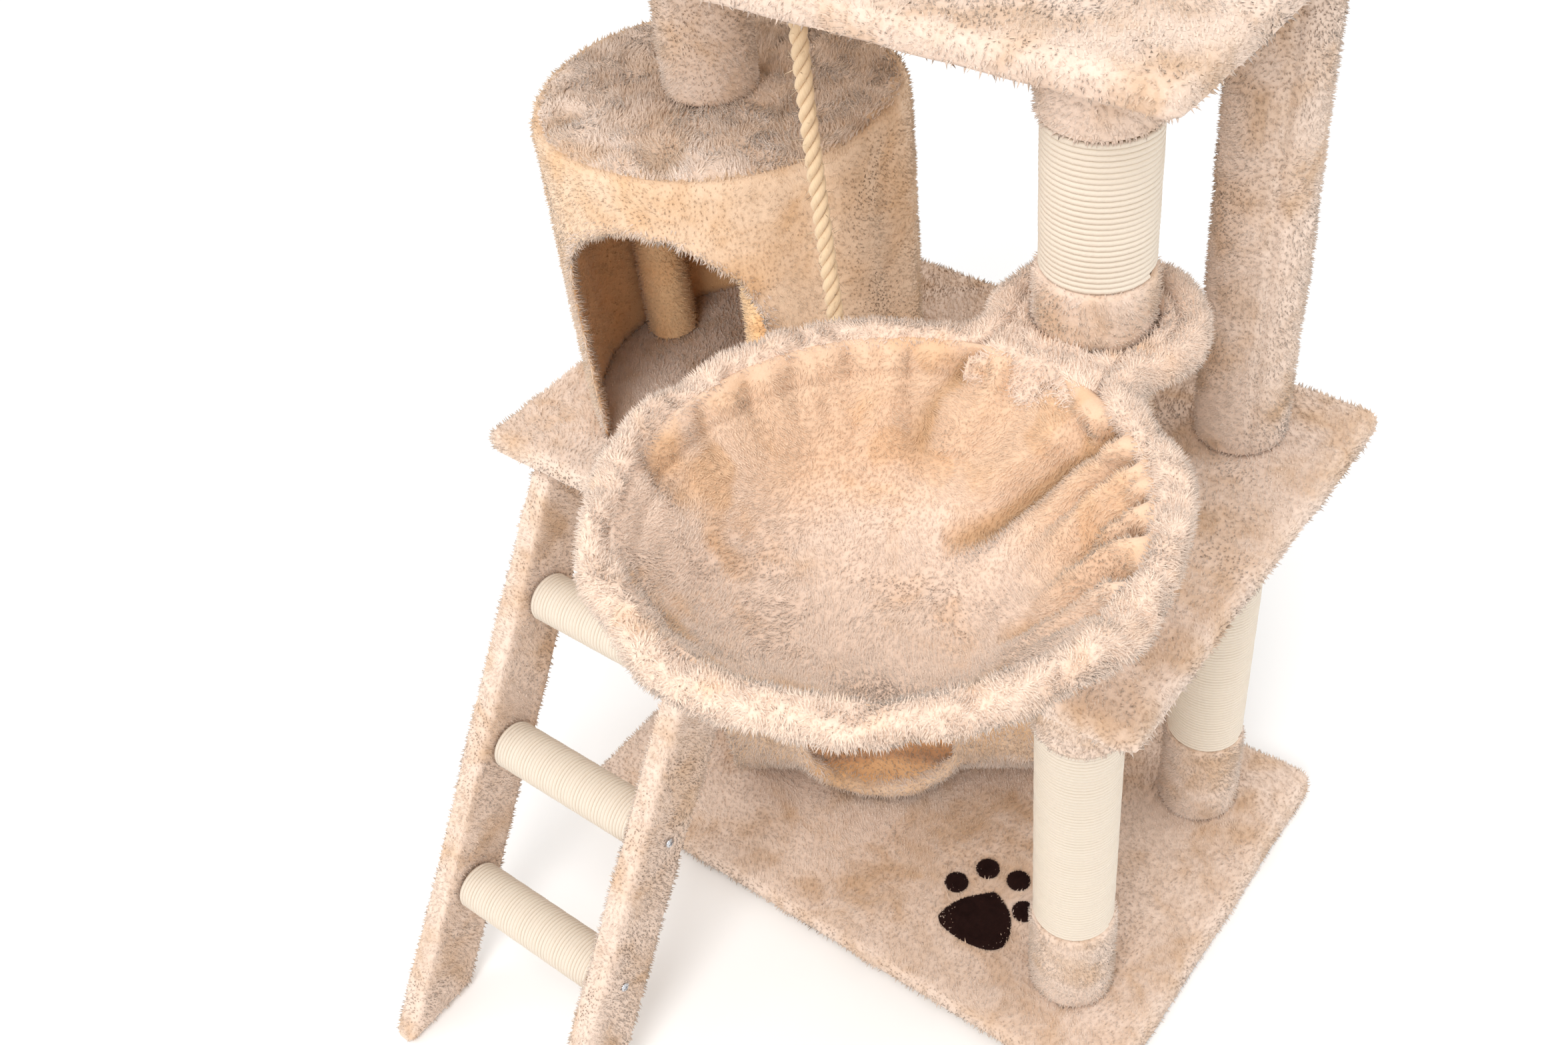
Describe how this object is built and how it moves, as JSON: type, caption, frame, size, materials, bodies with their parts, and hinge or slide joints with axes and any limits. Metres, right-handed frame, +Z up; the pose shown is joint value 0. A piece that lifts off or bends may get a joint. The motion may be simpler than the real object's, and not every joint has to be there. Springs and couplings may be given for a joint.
{
  "type": "cat tree",
  "caption": "Plush-covered cat tree with sisal posts, a round condo, a wire hammock, a tunnel, a leaning ladder, a hanging rope and a bolstered top perch.",
  "frame": {"origin": "centre of the base board's underside, on the floor", "axes": "+X along the base's long side to the right, +Y to the back, +Z up; the ladder and the hammock reach out to -Y"},
  "size_m": [0.6655, 0.7002, 1.3453],
  "materials": {
    "plush": "short brushed beige plush",
    "hammock_plush": "long peach-beige plush",
    "sisal": "tightly wound pale sisal twine",
    "rope": "three-strand twisted sisal rope",
    "board": "raw particle board and turned wood",
    "paper_tube": "wound paper tube",
    "steel": "zinc-plated steel"
  },
  "bodies": {
    "stand": {"back_left_low_collar_bottom": "plush", "back_left_low_collar_top": "plush", "back_left_low_sisal": "sisal", "back_left_low_tube": "paper_tube", "back_right_low_collar_bottom": "plush", "back_right_low_collar_top": "plush", "back_right_low_sisal": "sisal", "back_right_low_tube": "paper_tube", "back_right_tall_sleeve": "plush", "back_right_tall_tube": "paper_tube", "base_board": "board", "base_cover": "plush", "clamp_plug_high": "board", "clamp_plug_low": "board", "condo_post_sleeve": "plush", "condo_post_tube": "paper_tube", "condo_prop_1": "plush", "condo_prop_2": "plush", "condo_prop_3": "plush", "condo_roof_board": "board", "condo_roof_cover": "plush", "condo_wall": "plush", "front_right_high_collar_bottom": "plush", "front_right_high_collar_top": "plush", "front_right_high_sisal": "sisal", "front_right_high_tube": "paper_tube", "front_right_low_collar_bottom": "plush", "front_right_low_collar_top": "plush", "front_right_low_sisal": "sisal", "front_right_low_tube": "paper_tube", "front_right_mid_collar_bottom": "plush", "front_right_mid_collar_top": "plush", "front_right_mid_sisal": "sisal", "front_right_mid_tube": "paper_tube", "hammock_stud": "steel", "ladder_rung_core_1": "board", "ladder_rung_core_2": "board", "ladder_rung_core_3": "board", "ladder_rung_sisal_1": "sisal", "ladder_rung_sisal_2": "sisal", "ladder_rung_sisal_3": "sisal", "ladder_stringer_left": "plush", "ladder_stringer_right": "plush", "lower_platform_board": "board", "lower_platform_cover": "plush", "perch_board": "board", "perch_bolster": "plush", "perch_cover": "plush", "perch_post_sleeve": "plush", "perch_post_tube": "paper_tube", "tunnel_shell": "hammock_plush", "upper_platform_board": "board", "upper_platform_cover": "plush"},
    "hammock": {"hammock_frame": "steel", "hammock_rim": "hammock_plush", "hammock_bowl": "hammock_plush", "hammock_disc": "hammock_plush"},
    "rope": {"rope": "rope", "rope_knot": "rope"}
  },
  "joints": [
    {"name": "hammock_swivel", "type": "hinge", "parent": "stand", "child": "hammock", "pos_m": [0.217, -0.1168, 0.7122], "axis": [0, 0, 1], "range_deg": [-15, 105]},
    {"name": "rope_swing", "type": "hinge", "parent": "stand", "child": "rope", "pos_m": [0.032, -0.14, 0.8868], "axis": [0.6853, -0.7283, 0], "range_deg": [-30, 30]}
  ]
}
